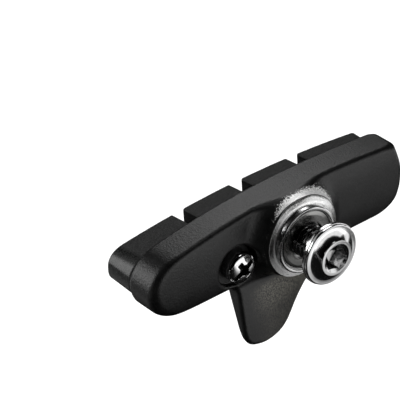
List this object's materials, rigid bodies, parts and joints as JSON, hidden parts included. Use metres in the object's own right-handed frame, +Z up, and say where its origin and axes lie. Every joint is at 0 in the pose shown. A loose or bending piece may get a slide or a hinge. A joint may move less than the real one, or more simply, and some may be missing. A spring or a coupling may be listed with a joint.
{
  "type": "bicycle rim brake pad",
  "caption": "Road-bike rim brake shoe: a cast holder with a slide-in slotted rubber pad, a wheel-guide fin and a flanged bolt with washers that clamps it to a brake arm.",
  "frame": {"origin": "on the fixing bolt's axis, at the seat washer's face that meets the brake arm", "axes": "+X along the shoe towards the open end where the pad slides in, +Y along the bolt towards the rim (friction face), +Z up (the wheel-guide fin hangs towards -Z)"},
  "size_m": [0.0552, 0.0241, 0.0259],
  "materials": {
    "holder_black": "satin black paint on cast aluminium alloy, bare metal ring on the bolt boss",
    "pad_rubber": "matte, fine grain",
    "bright_steel": "bright plated steel"
  },
  "bodies": {
    "root": {"holder": "holder_black", "friction_pad": "pad_rubber", "pad_screw": "bright_steel", "fixing_bolt": "bright_steel", "head_washer": "bright_steel", "seat_washer": "bright_steel"}
  },
  "joints": []
}
